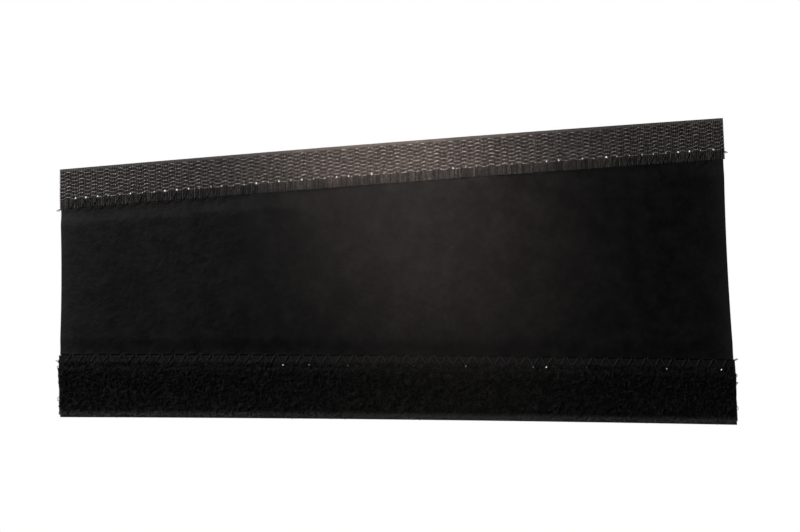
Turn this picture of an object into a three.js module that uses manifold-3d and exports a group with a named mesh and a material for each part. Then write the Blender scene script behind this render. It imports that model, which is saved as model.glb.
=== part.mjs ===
// A chainstay protector: a tapered neoprene panel that wraps round a bicycle's chainstay and closes
// along its length with a hook tape and a loop tape. Each tape laps one long edge of the panel's front
// and is sewn down with a zigzag lockstitch. It lies flat, front up. Millimetres: +X runs along the
// loop tape, +Y across towards the hook tape and +Z up out of the front face.

import * as THREE from 'three';
import { mergeVertices } from 'three/addons/utils/BufferGeometryUtils.js';
import Module from 'manifold-3d';

// Outline of the whole protector, tapes included
const LOOP_EDGE_LENGTH = 268;
const NARROW_END_HEIGHT = 99.7;
const WIDE_END_HEIGHT = 119;
const NARROW_END_LEAN = -0.4; // how far the top corner stands inside the bottom corner
const WIDE_END_LEAN = 5.7;
const HOOK_EDGE_BOW = -0.6; // the long edges lie in slight curves, both towards the hook tape
const LOOP_EDGE_BOW = 0.55;
const BOW_STEPS = 4;

// Neoprene panel
const PANEL_THICKNESS = 3;
const PANEL_END_INSET = 0.45; // the tapes' ends stand past the panel's
const PANEL_END_BOW = 0.75; // the cut ends draw in between the seams
const LAP = 3.5; // panel under each tape
const PRESSED_TOP = 1.5; // height of the front face where a tape is sewn on it
const PRESSED_BACK = 0.55; // and of the back face there
const PRESS_PAST_STITCH = 0.4;
const PRESS_RISE = 2.6; // width of the slope back to full thickness
const PRESS_EASE = PRESS_RISE / 3; // how softly that slope starts and ends
const PRESS_CLEARANCE = 0.25; // from the tape's edge to the wall of the step that it lies in

// Hook tape
const HOOK_TAPE_WIDTH = 16;
const HOOK_BASE_THICKNESS = 0.5;
const HOOK_ROWS = 7;
const HOOK_ROW_PITCH = 1.4;
const HOOK_FIRST_ROW = 1.9; // from the outer selvedge to the first row
const HOOK_REACH = 1.5; // from the tape's underside to the hooks' crowns
const HOOK_STEM_WIDTH = 0.3;
const HOOK_CROOK_WIDTH = 0.6; // from the stem's middle to the hook's tip
const HOOK_CROWN_WIDTH = 0.42; // and to the corner of its flat crown
const HOOK_CROOK_HEIGHT = 0.65;
const YARN_RIDGE_HEIGHT = 0.22;
const YARN_WAVE_LENGTH = 5.3;
const YARN_WAVE_SWING = 0.3;

// Loop tape
const LOOP_TAPE_WIDTH = 25;
const LOOP_BASE_THICKNESS = 0.5;
const PILE_HEIGHT = 1.5;
const PILE_SHOULDER = 0.9; // width of the pile's rounded edge
const PILE_SHOULDER_FOOT = 0.3; // width of that edge's steep lower part
const PILE_SHOULDER_HEIGHT = 1.125; // and its height
const PRESSED_PILE = 0.3; // pile under the stitches
const OUTER_LOOP_SELVEDGE = 1.2;
const INNER_LOOP_SELVEDGE = 1.9;
const PRESSED_PILE_WIDTH = 2.6; // beyond the inner selvedge
const DROOP_WIDTH = 11; // the free tape comes down to the surface over this width
const DROOP_STEPS = 4;

// Zigzag lockstitch
const HOOK_STITCH_PITCH = 4.6;
const LOOP_STITCH_PITCH = 5.2;
const NEEDLE_ROW_IN_TAPE = 4; // from the tape's inner edge to the needle holes in it
const NEEDLE_ROW_IN_PANEL = 1.1; // from that edge to the stitches in the panel
const SEAM_END_MARGIN = 1.4;
const THREAD_DIAMETER = 0.3;
const NEEDLE_HOLE = 0.9;
const PUNCH_OVERRUN = 0.1; // below the tape's underside
const STITCH_TURN = 0.45; // between the two legs of a stitch where it turns
const LOCK_GAP = 0.1; // between needle thread and bobbin thread where they cross in a hole

const SEAT_GAP = 0.05; // between pieces that lie on each other

const threadRadius = THREAD_DIAMETER / 2;
const tapeUnderside = PRESSED_TOP + SEAT_GAP;

const wasm = await Module();
wasm.setup();

function toSolid(geometry) {
  const bare = geometry.clone();
  bare.deleteAttribute('normal');
  bare.deleteAttribute('uv');
  const merged = mergeVertices(bare, 1e-5);
  return new wasm.Manifold(new wasm.Mesh({
    numProp: 3,
    vertProperties: merged.attributes.position.array,
    triVerts: Uint32Array.from(merged.index.array),
  }));
}

function toGeometry(manifold) {
  const mesh = manifold.getMesh();
  const geometry = new THREE.BufferGeometry();
  geometry.setAttribute('position', new THREE.BufferAttribute(mesh.vertProperties, 3));
  geometry.setIndex(new THREE.BufferAttribute(mesh.triVerts, 1));
  geometry.computeVertexNormals();
  return geometry;
}

// A long edge of the protector. Its pieces are drawn straight, with `along` from its first corner,
// `across` inwards from its outer line and `up`, then laid on its curve between the two slanting ends.
class SewnEdge {
  constructor(from, to, beyondFrom, beyondTo, bow) {
    this.from = from;
    this.length = from.distanceTo(to);
    this.along = to.clone().sub(from).normalize();
    this.inward = new THREE.Vector2(-this.along.y, this.along.x);
    this.startLean = this.lean(beyondFrom.clone().sub(from));
    this.endLean = this.lean(beyondTo.clone().sub(to));
    this.bow = bow;
  }

  lean(endLine) {
    return endLine.dot(this.along) / endLine.dot(this.inward);
  }

  place(along, across) {
    const share = along / this.length;
    const slanted = along + across * ((1 - share) * this.startLean + share * this.endLean);
    const bowed = across + this.bow * 4 * share * (1 - share);
    return this.from.clone().addScaledVector(this.along, slanted).addScaledVector(this.inward, bowed);
  }

  point(along, across, up) {
    const plan = this.place(along, across);
    return new THREE.Vector3(plan.x, plan.y, up);
  }

  // Runs a section, drawn as (across, up), along the edge
  run(section, start, end, steps, shift = () => 0) {
    const geometry = new THREE.ExtrudeGeometry(section, {
      depth: end - start, steps, curveSegments: 5, bevelEnabled: false,
    });
    const position = geometry.attributes.position;
    for (let i = 0; i < position.count; i++) {
      const along = start + position.getZ(i);
      const across = position.getX(i);
      const laid = this.point(along, across + shift(along, across), position.getY(i));
      position.setXYZ(i, laid.x, laid.y, laid.z);
    }
    geometry.computeVertexNormals();
    return geometry;
  }
}

const corner = {
  narrowLoop: new THREE.Vector2(0, 0),
  wideLoop: new THREE.Vector2(LOOP_EDGE_LENGTH, 0),
  wideHook: new THREE.Vector2(LOOP_EDGE_LENGTH - WIDE_END_LEAN, WIDE_END_HEIGHT),
  narrowHook: new THREE.Vector2(NARROW_END_LEAN, NARROW_END_HEIGHT),
};
const loopEdge = new SewnEdge(
  corner.narrowLoop, corner.wideLoop, corner.narrowHook, corner.wideHook, LOOP_EDGE_BOW,
);
const hookEdge = new SewnEdge(
  corner.wideHook, corner.narrowHook, corner.wideLoop, corner.narrowLoop, HOOK_EDGE_BOW,
);

// A seam: where its needle rows run, where its stitches turn and how high its threads lie
function makeSeam(edge, tapeWidth, thicknessUnderThread, pitch) {
  const span = edge.length - 2 * SEAM_END_MARGIN;
  const stitches = Math.floor(span / pitch);
  const tapeTop = tapeUnderside + thicknessUnderThread;
  return {
    edge,
    pitch,
    stitches,
    first: (edge.length - (stitches - 0.5) * pitch) / 2,
    tapeEdge: tapeWidth,
    panelEdge: tapeWidth - LAP,
    tapeRow: tapeWidth - NEEDLE_ROW_IN_TAPE,
    panelRow: tapeWidth + NEEDLE_ROW_IN_PANEL,
    foamUnderThread: tapeTop,
    needleThreadHeight: tapeTop + SEAT_GAP + threadRadius,
    bobbinThreadHeight: PRESSED_BACK - SEAT_GAP - threadRadius,
  };
}
const hookSeam = makeSeam(hookEdge, HOOK_TAPE_WIDTH, HOOK_BASE_THICKNESS, HOOK_STITCH_PITCH);
const loopSeam = makeSeam(
  loopEdge, LOOP_TAPE_WIDTH, LOOP_BASE_THICKNESS + PRESSED_PILE, LOOP_STITCH_PITCH,
);

// The panel is die-cut from neoprene sheet and pressed thin by each seam, front and back
const CUTTER_OVERRUN = 2;

function frontPress(seam) {
  const slopeStart = seam.panelRow + PRESS_PAST_STITCH;
  const slopeEnd = slopeStart + PRESS_RISE;
  const clear = PANEL_THICKNESS + CUTTER_OVERRUN;
  const section = new THREE.Shape();
  section.moveTo(seam.panelEdge - CUTTER_OVERRUN, PRESSED_TOP);
  section.lineTo(seam.tapeEdge + PRESS_CLEARANCE, PRESSED_TOP);
  section.lineTo(seam.tapeEdge + PRESS_CLEARANCE, seam.foamUnderThread);
  section.lineTo(slopeStart, seam.foamUnderThread);
  section.bezierCurveTo(
    slopeStart + PRESS_EASE, seam.foamUnderThread,
    slopeStart + PRESS_EASE, PANEL_THICKNESS, slopeEnd, PANEL_THICKNESS,
  );
  section.lineTo(slopeEnd, clear);
  section.lineTo(seam.panelEdge - CUTTER_OVERRUN, clear);
  return seam.edge.run(section, -CUTTER_OVERRUN, seam.edge.length + CUTTER_OVERRUN, BOW_STEPS);
}

function backPress(seam) {
  const slopeStart = seam.panelRow + PRESS_PAST_STITCH;
  const slopeEnd = slopeStart + PRESS_RISE;
  const section = new THREE.Shape();
  section.moveTo(seam.panelEdge - CUTTER_OVERRUN, -CUTTER_OVERRUN);
  section.lineTo(slopeEnd, -CUTTER_OVERRUN);
  section.lineTo(slopeEnd, 0);
  section.bezierCurveTo(
    slopeStart + PRESS_EASE, 0,
    slopeStart + PRESS_EASE, PRESSED_BACK, slopeStart, PRESSED_BACK,
  );
  section.lineTo(seam.panelEdge - CUTTER_OVERRUN, PRESSED_BACK);
  return seam.edge.run(section, -CUTTER_OVERRUN, seam.edge.length + CUTTER_OVERRUN, BOW_STEPS);
}

function bowedLine(outline, from, to, bow) {
  const side = to.clone().sub(from).normalize();
  const inward = new THREE.Vector2(-side.y, side.x);
  const pull = from.clone().lerp(to, 0.5).addScaledVector(inward, 2 * bow);
  outline.quadraticCurveTo(pull.x, pull.y, to.x, to.y);
}

function makePanel() {
  const sides = [loopSeam, hookSeam].map(({ edge, panelEdge }) => ({
    start: edge.place(PANEL_END_INSET, panelEdge),
    end: edge.place(edge.length - PANEL_END_INSET, panelEdge),
    bow: edge.bow,
  }));
  const outline = new THREE.Shape();
  outline.moveTo(sides[0].start.x, sides[0].start.y);
  bowedLine(outline, sides[0].start, sides[0].end, sides[0].bow);
  bowedLine(outline, sides[0].end, sides[1].start, PANEL_END_BOW);
  bowedLine(outline, sides[1].start, sides[1].end, sides[1].bow);
  bowedLine(outline, sides[1].end, sides[0].start, PANEL_END_BOW);
  const sheet = new THREE.ExtrudeGeometry(outline, {
    depth: PANEL_THICKNESS, curveSegments: 6, bevelEnabled: false,
  });
  let panel = toSolid(sheet);
  for (const seam of [loopSeam, hookSeam]) {
    panel = panel.subtract(toSolid(frontPress(seam))).subtract(toSolid(backPress(seam)));
  }
  return toGeometry(panel);
}

// The needle leaves a row of holes through each tape, just outside the panel's covered edge
function punchNeedleHoles(tape, seam) {
  const floor = tapeUnderside - PUNCH_OVERRUN;
  const ceiling = PANEL_THICKNESS;
  let punched = tape;
  for (let k = 0; k < seam.stitches; k++) {
    const along = seam.first + k * seam.pitch;
    const half = NEEDLE_HOLE / 2;
    const section = new THREE.Shape([
      new THREE.Vector2(seam.tapeRow - half, floor), new THREE.Vector2(seam.tapeRow + half, floor),
      new THREE.Vector2(seam.tapeRow + half, ceiling), new THREE.Vector2(seam.tapeRow - half, ceiling),
    ]);
    punched = punched.subtract(toSolid(seam.edge.run(section, along - half, along + half, 1)));
  }
  return punched;
}

// The hook tape is woven with its hooks down and its ribbed back up. Each row of hooks is one rail with
// the hooks' section, and neighbouring rows crook opposite ways.
function hookTapeSection() {
  const crown = tapeUnderside - HOOK_REACH;
  const half = HOOK_STEM_WIDTH / 2;
  const hook = [
    [-half, tapeUnderside],
    [-half, crown + HOOK_STEM_WIDTH],
    [-HOOK_CROOK_WIDTH, crown + HOOK_CROOK_HEIGHT],
    [-HOOK_CROWN_WIDTH, crown],
    [0, crown],
    [half, crown + HOOK_STEM_WIDTH],
    [half, tapeUnderside],
  ];
  const turnedHook = hook.map(([across, up]) => [-across, up]).toReversed();
  const section = new THREE.Shape();
  section.moveTo(0, tapeUnderside);
  for (let row = 0; row < HOOK_ROWS; row++) {
    for (const [across, up] of row % 2 ? turnedHook : hook) {
      section.lineTo(HOOK_FIRST_ROW + row * HOOK_ROW_PITCH + across, up);
    }
  }
  section.lineTo(HOOK_TAPE_WIDTH, tapeUnderside);
  section.lineTo(HOOK_TAPE_WIDTH, tapeUnderside + HOOK_BASE_THICKNESS);
  section.lineTo(0, tapeUnderside + HOOK_BASE_THICKNESS);
  return section;
}

// The hook yarns show on the tape's back as ridges that swing from side to side
function yarnRidges() {
  const valley = tapeUnderside + HOOK_BASE_THICKNESS + SEAT_GAP;
  const crest = valley + YARN_RIDGE_HEIGHT;
  const root = tapeUnderside + HOOK_BASE_THICKNESS / 2;
  const firstValley = HOOK_FIRST_ROW - HOOK_ROW_PITCH / 2;
  const section = new THREE.Shape();
  section.moveTo(firstValley, root);
  section.lineTo(firstValley + HOOK_ROWS * HOOK_ROW_PITCH, root);
  for (let row = HOOK_ROWS; row > 0; row--) {
    section.lineTo(firstValley + row * HOOK_ROW_PITCH, valley);
    section.lineTo(firstValley + (row - 0.5) * HOOK_ROW_PITCH, crest);
  }
  section.lineTo(firstValley, valley);
  const waves = Math.floor((hookEdge.length - 2 * SEAT_GAP) / YARN_WAVE_LENGTH);
  const start = (hookEdge.length - waves * YARN_WAVE_LENGTH) / 2;
  const swing = (along) => {
    const half = Math.round((along - start) / (YARN_WAVE_LENGTH / 2));
    return YARN_WAVE_SWING * (half % 2 ? 1 : -1);
  };
  return hookEdge.run(section, start, hookEdge.length - start, 2 * waves, swing);
}

function makeHookTape() {
  const woven = toSolid(hookEdge.run(hookTapeSection(), 0, hookEdge.length, BOW_STEPS));
  const ribbed = woven.add(toSolid(yarnRidges()));
  return toGeometry(punchNeedleHoles(ribbed, hookSeam));
}

// The loop tape's pile stands up between two selvedges and is pressed down under the stitches. Its free
// width comes down to the surface that the protector lies on.
function loopTapeSection() {
  const bendEnd = loopSeam.tapeRow - NEEDLE_HOLE;
  const bendStart = bendEnd - DROOP_WIDTH;
  const pileEnd = LOOP_TAPE_WIDTH - INNER_LOOP_SELVEDGE;
  const pressedStart = pileEnd - PRESSED_PILE_WIDTH;
  const underside = (across) => tapeUnderside * THREE.MathUtils.smoothstep(across, bendStart, bendEnd);
  const section = new THREE.Shape();
  const line = (across, height) => section.lineTo(across, underside(across) + height);
  const bend = Array.from(
    { length: DROOP_STEPS + 1 }, (_, step) => bendStart + (step / DROOP_STEPS) * DROOP_WIDTH,
  );
  section.moveTo(0, 0);
  bend.forEach((across) => line(across, 0));
  line(LOOP_TAPE_WIDTH, 0);
  line(LOOP_TAPE_WIDTH, LOOP_BASE_THICKNESS);
  line(pileEnd, LOOP_BASE_THICKNESS);
  line(pileEnd - PRESSED_PILE, LOOP_BASE_THICKNESS + PRESSED_PILE);
  line(pressedStart, LOOP_BASE_THICKNESS + PRESSED_PILE);
  const pileTop = LOOP_BASE_THICKNESS + PILE_HEIGHT;
  line(pressedStart - PILE_SHOULDER_FOOT, LOOP_BASE_THICKNESS + PILE_SHOULDER_HEIGHT);
  line(pressedStart - PILE_SHOULDER, pileTop);
  bend.slice(1, -1).toReversed().forEach((across) => line(across, pileTop));
  line(bendStart, pileTop);
  line(OUTER_LOOP_SELVEDGE + PILE_SHOULDER, pileTop);
  line(OUTER_LOOP_SELVEDGE + PILE_SHOULDER_FOOT, LOOP_BASE_THICKNESS + PILE_SHOULDER_HEIGHT);
  line(OUTER_LOOP_SELVEDGE, LOOP_BASE_THICKNESS);
  line(0, LOOP_BASE_THICKNESS);
  return section;
}

function makeLoopTape() {
  const tape = toSolid(loopEdge.run(loopTapeSection(), 0, loopEdge.length, BOW_STEPS));
  return toGeometry(punchNeedleHoles(tape, loopSeam));
}

// A thread's line, with one ring of its tube at each point
class ThreadLine extends THREE.Curve {
  constructor(points) {
    super();
    this.points = points;
  }

  getPoint(t, target = new THREE.Vector3()) {
    const at = t * (this.points.length - 1);
    const i = Math.min(Math.floor(at), this.points.length - 2);
    return target.lerpVectors(this.points[i], this.points[i + 1], at - i);
  }

  getUtoTmapping(u) {
    return u;
  }
}

function threadTube(points) {
  const section = new THREE.Shape();
  section.absarc(0, 0, threadRadius, 0, 2 * Math.PI, false);
  return new THREE.ExtrudeGeometry(section, {
    steps: points.length - 1, curveSegments: 2, extrudePath: new ThreadLine(points),
  });
}

// A thread swings between the two needle rows. In the tape's holes it runs to the other thread, which it
// locks with, and in the panel the foam has closed round it.
function zigzag(seam, height, lockHeight) {
  const points = [];
  const half = STITCH_TURN / 2;
  for (let k = 0; k < seam.stitches; k++) {
    const hole = seam.first + k * seam.pitch;
    const turn = hole + seam.pitch / 2;
    points.push(
      seam.edge.point(hole - half, seam.tapeRow, height),
      seam.edge.point(hole, seam.tapeRow, lockHeight),
      seam.edge.point(hole + half, seam.tapeRow, height),
      seam.edge.point(turn - half, seam.panelRow, height),
      seam.edge.point(turn + half, seam.panelRow, height),
    );
  }
  return threadTube(points);
}

function needleThread(seam) {
  const lock = tapeUnderside + threadRadius + LOCK_GAP;
  return zigzag(seam, seam.needleThreadHeight, lock);
}

function bobbinThread(seam) {
  const lock = tapeUnderside - threadRadius;
  return zigzag(seam, seam.bobbinThreadHeight, lock);
}

function makeMesh(name, geometry, color, roughness) {
  const material = new THREE.MeshStandardMaterial({ color, roughness, metalness: 0 });
  const mesh = new THREE.Mesh(geometry, material);
  mesh.name = name;
  return mesh;
}

const protector = new THREE.Group();
protector.add(
  makeMesh('neoprene_panel', makePanel(), 0x1b1a1a, 0.9),
  makeMesh('hook_tape', makeHookTape(), 0x4a4541, 0.6),
  makeMesh('loop_tape', makeLoopTape(), 0x0d0d0d, 1),
  makeMesh('hook_seam_needle_thread', needleThread(hookSeam), 0x161616, 0.55),
  makeMesh('hook_seam_bobbin_thread', bobbinThread(hookSeam), 0x161616, 0.55),
  makeMesh('loop_seam_needle_thread', needleThread(loopSeam), 0x161616, 0.55),
  makeMesh('loop_seam_bobbin_thread', bobbinThread(loopSeam), 0x161616, 0.55),
);

// The origin is the middle of the surface that the protector lies on
const middle = new THREE.Box3().setFromObject(protector).getCenter(new THREE.Vector3());
protector.position.set(-middle.x, -middle.y, 0);

export default protector;
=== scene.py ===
# A chainstay protector lying flat with its front up: a tapered neoprene panel, a hook tape lapped over one
# long edge and a loop tape lapped over the other, each sewn down with a zigzag lockstitch.
import math

import bpy
import numpy as np
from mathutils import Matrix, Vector


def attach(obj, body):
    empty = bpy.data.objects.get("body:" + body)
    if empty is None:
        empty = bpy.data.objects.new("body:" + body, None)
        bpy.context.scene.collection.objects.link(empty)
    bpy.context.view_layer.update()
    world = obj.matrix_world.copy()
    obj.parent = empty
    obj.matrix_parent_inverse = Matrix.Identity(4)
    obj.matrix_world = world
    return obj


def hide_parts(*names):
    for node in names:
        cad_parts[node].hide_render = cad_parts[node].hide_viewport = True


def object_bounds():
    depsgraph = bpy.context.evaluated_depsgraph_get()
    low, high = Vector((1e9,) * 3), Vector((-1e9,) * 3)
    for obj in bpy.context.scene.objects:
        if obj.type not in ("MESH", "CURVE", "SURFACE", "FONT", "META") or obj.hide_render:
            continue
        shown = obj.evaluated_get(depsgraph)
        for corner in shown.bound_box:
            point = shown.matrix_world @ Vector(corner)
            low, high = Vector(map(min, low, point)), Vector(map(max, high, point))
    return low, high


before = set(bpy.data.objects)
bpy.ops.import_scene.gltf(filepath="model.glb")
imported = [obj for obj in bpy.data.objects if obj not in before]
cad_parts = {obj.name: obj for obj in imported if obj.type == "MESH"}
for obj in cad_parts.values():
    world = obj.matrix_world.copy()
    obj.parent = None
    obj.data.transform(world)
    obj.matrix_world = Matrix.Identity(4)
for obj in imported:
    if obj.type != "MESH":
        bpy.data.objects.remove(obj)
cad_low, cad_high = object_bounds()
MM = 0.001


# The neoprene panel. A die-cut piece of 3 mm foam rubber with black nylon jersey glued to both faces, its
# short ends left raw. The seams along its two slightly curved long edges press it thin, and each stitch
# bites a small dimple in it.
NARROW_END_HEIGHT = 99.7 * MM
NARROW_END_LEAN = -0.4 * MM
WIDE_END_LEAN = 5.7 * MM
HOOK_EDGE_BOW = -0.6 * MM
LOOP_EDGE_BOW = 0.55 * MM
HOOK_TAPE_WIDTH = 16 * MM
HOOK_TAPE_THICKNESS = 0.5 * MM
HOOK_STITCH_PITCH = 4.6 * MM
LOOP_TAPE_WIDTH = 25 * MM
LOOP_TAPE_THICKNESS = 0.8 * MM
LOOP_STITCH_PITCH = 5.2 * MM
HOOK_TAPE_LAP = 3.5 * MM
LOOP_TAPE_LAP = 3.1 * MM
TAPE_UNDERSIDE = 1.55 * MM
NEEDLE_ROW_PAST_LAP = 0.5 * MM
NEEDLE_ROW_IN_PANEL = 1.1 * MM
SEAM_END_MARGIN = 1.4 * MM
PANEL_THICKNESS = 3.0 * MM
PANEL_END_INSET = 0.45 * MM
PANEL_END_BOW = 0.75 * MM
PRESSED_TOP = 1.5 * MM
PRESSED_BACK = 0.55 * MM
PRESS_PAST_STITCH = 0.3 * MM
PRESS_RISE = 6.0 * MM
JERSEY_THICKNESS = 0.35 * MM
FOAM_RECESS = 0.12 * MM
DIMPLE_DEPTH = 0.28 * MM
DIMPLE_RADIUS = 0.6 * MM
RAW_EDGE_GLOW_WIDTH = 4.0 * MM
UNDER_TAPE_STEP = (0.05 * MM, 0.3 * MM)
RIM_DROP = 0.12 * MM
FOAM_STEP = 0.02 * MM
RIPPLE_HEIGHT = 0.05 * MM
PANEL_COLUMNS = 426
PANEL_ROWS = 42
STITCH_UNEVENNESS = 0.03
OPEN_HOLE_SHARE = 0.44
CLOSED_HOLE = 0.3
KNIT_WALE = 0.42 * MM
KNIT_COURSE = 0.34 * MM
KNIT_DEPTH = 0.03 * MM
RUMPLE_DEPTH = 0.3 * MM
FUZZ_DEPTH = 0.02 * MM
FOAM_CELL_DEPTH = 0.06 * MM
JERSEY_BLACK = (0.0060, 0.0059, 0.0058, 1)
JERSEY_WORN = (0.0300, 0.0292, 0.0278, 1)
RAW_EDGE_GLOW_GREY = (0.060, 0.059, 0.056, 1)
FOAM_BLACK = (0.011, 0.011, 0.0115, 1)


class LongEdge:
    def __init__(self, start, end, beyond_start, beyond_end, bow):
        self.start = np.array(start)
        self.length = float(np.linalg.norm(end - self.start))
        self.along = (end - self.start) / self.length
        self.inward = np.array([-self.along[1], self.along[0]])
        self.leans = self.lean(beyond_start - self.start), self.lean(beyond_end - end)
        self.bow = bow

    def lean(self, end_line):
        return (end_line @ self.along) / (end_line @ self.inward)

    def slant(self, share, across):
        return across * ((1 - share) * self.leans[0] + share * self.leans[1])

    def lay(self, points):
        """Lays straight points (along, across, up) on the edge's curve."""
        along, across, up = np.asarray(points, float).T
        share = along / self.length
        bowed = across + self.bow * 4 * share * (1 - share)
        plan = self.start + np.outer(along + self.slant(share, across), self.along)
        return np.column_stack([plan + np.outer(bowed, self.inward), up])

    def inside(self, points):
        """How far along the edge, and how far inside it, laid points are."""
        offset = points[:, :2] - self.start
        share = offset @ self.along / self.length
        across = offset @ self.inward - self.bow * 4 * share * (1 - share)
        return offset @ self.along - self.slant(share, across), across


class Seam:
    def __init__(self, edge, tape_width, tape_thickness, lap, pitch, seed):
        self.edge, self.pitch = edge, pitch
        self.tape_edge = tape_width
        self.panel_edge = tape_width - lap
        self.tape_row = self.panel_edge - NEEDLE_ROW_PAST_LAP
        self.panel_row = tape_width + NEEDLE_ROW_IN_PANEL
        self.tape_top = TAPE_UNDERSIDE + tape_thickness
        count = int((edge.length - 2 * SEAM_END_MARGIN) // pitch)
        first = (edge.length - (count - 0.5) * pitch) / 2
        rng = np.random.default_rng(seed)
        stitches = np.arange(count)
        self.holes = first + (stitches + rng.normal(0, STITCH_UNEVENNESS, count)) * pitch
        self.turns = first + (stitches + 0.5 + rng.normal(0, STITCH_UNEVENNESS, count)) * pitch
        self.pull = rng.uniform(0.3, 1.0, count)
        wide = rng.random(count) < OPEN_HOLE_SHARE
        self.open = np.where(wide, rng.uniform(0.65, 1.0, count), CLOSED_HOLE)


narrow_loop = np.array([cad_low.x - NARROW_END_LEAN, cad_low.y])
wide_loop = np.array([cad_high.x, cad_low.y])
wide_hook = np.array([cad_high.x - WIDE_END_LEAN, cad_high.y])
narrow_hook = np.array([cad_low.x, cad_low.y + NARROW_END_HEIGHT])
loop_edge = LongEdge(narrow_loop, wide_loop, narrow_hook, wide_hook, LOOP_EDGE_BOW)
hook_edge = LongEdge(wide_hook, narrow_hook, wide_loop, narrow_loop, HOOK_EDGE_BOW)
hook_seam = Seam(hook_edge, HOOK_TAPE_WIDTH, HOOK_TAPE_THICKNESS, HOOK_TAPE_LAP, HOOK_STITCH_PITCH, 11)
loop_seam = Seam(loop_edge, LOOP_TAPE_WIDTH, LOOP_TAPE_THICKNESS, LOOP_TAPE_LAP, LOOP_STITCH_PITCH, 23)


def step_between(value, start, end):
    share = np.clip((value - start) / (end - start), 0, 1)
    return share * share * (3 - 2 * share)


def pressed_front(along, across, seam):
    """How far a seam holds the panel's front below its full height."""
    inside = across - seam.tape_edge
    under_tape = (seam.tape_top - PRESSED_TOP) * (1 - step_between(inside, *UNDER_TAPE_STEP))
    slope = np.clip((inside - NEEDLE_ROW_IN_PANEL - PRESS_PAST_STITCH) / PRESS_RISE, 0, 1)
    valley = (PANEL_THICKNESS - seam.tape_top) * (1 + np.cos(math.pi * slope)) / 2
    reach = np.abs(along[:, None] - seam.turns)
    away = np.hypot(reach.min(1), across - seam.panel_row) / DIMPLE_RADIUS
    dimples = DIMPLE_DEPTH * seam.pull[reach.argmin(1)] * np.exp(-(away**2))
    return under_tape + valley + np.where(inside > 0, dimples, 0)


def pressed_back(across, seam):
    slope = np.clip((across - seam.panel_row - PRESS_PAST_STITCH) / PRESS_RISE, 0, 1)
    return PRESSED_BACK * (1 - slope) ** 2


def grid_quads(index):
    corners = [index[:-1, :-1], index[:-1, 1:], index[1:, 1:], index[1:, :-1]]
    return np.stack(corners, -1).reshape(-1, 4)


def closed_sheet(name, grids):
    """A closed mesh from a front grid of points to a back grid. The grids between them form the rim only."""
    rows, columns = grids[0].shape[:2]
    index = np.arange(rows * columns).reshape(rows, columns)
    ring = np.concatenate([index[0], index[1:, -1], index[-1, -2::-1], index[-2:0:-1, 0]])
    quads = grid_quads(index)
    rims = [grid.reshape(-1, 3)[ring] for grid in grids[1:-1]]
    below = rows * columns
    loops = [2 * below + k * len(ring) + np.arange(len(ring)) for k in range(len(rims))]
    loops = [ring, *loops, ring + below]
    walls = [
        np.stack([upper, lower, np.roll(lower, -1), np.roll(upper, -1)], 1)
        for upper, lower in zip(loops[:-1], loops[1:])
    ]
    mesh = bpy.data.meshes.new(name)
    points = np.concatenate([grids[0].reshape(-1, 3), grids[-1].reshape(-1, 3), *rims])
    mesh.from_pydata(points, [], np.concatenate([quads, quads[:, ::-1] + below, *walls]))
    mesh.shade_smooth()
    return mesh, 2 * len(quads), len(ring)


def shown(name, mesh, material=None):
    piece = bpy.data.objects.new(name, mesh)
    bpy.context.collection.objects.link(piece)
    if material:
        mesh.materials.append(material)
    return piece


def panel_plan():
    """Rows of plan points across the panel, close together near the seams and the raw ends."""
    near_end = np.array([0, 0.08, 0.25, 0.55]) * MM
    length = loop_edge.length - 2 * PANEL_END_INSET
    inset = 2 * near_end[-1]
    columns = np.linspace(inset, length - inset, PANEL_COLUMNS)
    share = np.concatenate([near_end, columns, length - near_end[::-1]]) / length
    level = np.zeros(len(share))
    along = PANEL_END_INSET + share * length
    low = loop_edge.lay(np.column_stack([along, level + loop_seam.panel_edge, level]))
    along = hook_edge.length - PANEL_END_INSET - share * (hook_edge.length - 2 * PANEL_END_INSET)
    high = hook_edge.lay(np.column_stack([along, level + hook_seam.panel_edge, level]))
    seam_zone = np.concatenate([[0, 0.15], np.arange(0.4, 5.7, 0.28), np.arange(6.1, 11.2, 0.6)]) * MM
    middle = np.linspace(0, 1, PANEL_ROWS)[1:-1]
    rows = []
    for a, b, s in zip(low, high, share):
        tall = np.linalg.norm(b - a)
        between = seam_zone[-1] + middle * (tall - 2 * seam_zone[-1])
        reach = np.concatenate([seam_zone, between, tall - seam_zone[::-1]])[:, None] / tall
        line = a + reach * (b - a)
        line[:, :1] += PANEL_END_BOW * 4 * reach * (1 - reach) * (1 - 2 * s)
        rows.append(line)
    return np.stack(rows, axis=1)


def round_rim(top, underside, underside_share):
    """Lowers the two outermost lines of a sheet's top, and lifts its underside there by a share of that."""
    for rim, drop in ((0, RIM_DROP), (1, RIM_DROP / 4)):
        for line in (np.s_[rim, :], np.s_[-1 - rim, :], np.s_[:, rim], np.s_[:, -1 - rim]):
            top[line] -= drop
            underside[line] += drop * underside_share


plan = panel_plan()
flat_plan = plan.reshape(-1, 3)
front_height = np.full(len(flat_plan), PANEL_THICKNESS)
back_height = np.zeros(len(flat_plan))
for seam in (loop_seam, hook_seam):
    along, across = seam.edge.inside(flat_plan)
    front_height -= pressed_front(along, across, seam)
    back_height += pressed_back(across, seam)
along, across = flat_plan[:, 0] / MM, flat_plan[:, 1] / MM
ripple = np.sin(along / 31 + 1.3) * np.sin(across / 23 + 0.4) + 0.6 * np.sin(along / 13 + across / 19)
front_height += RIPPLE_HEIGHT * ripple
front, back = plan.copy(), plan.copy()
front[..., 2] = front_height.reshape(plan.shape[:2])
back[..., 2] = back_height.reshape(plan.shape[:2])
round_rim(front[..., 2], back[..., 2], 1)
inward = np.zeros_like(plan)
inward[0], inward[-1] = plan[1] - plan[0], plan[-2] - plan[-1]
inward[:, 0] += plan[:, 1] - plan[:, 0]
inward[:, -1] += plan[:, -2] - plan[:, -1]
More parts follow.
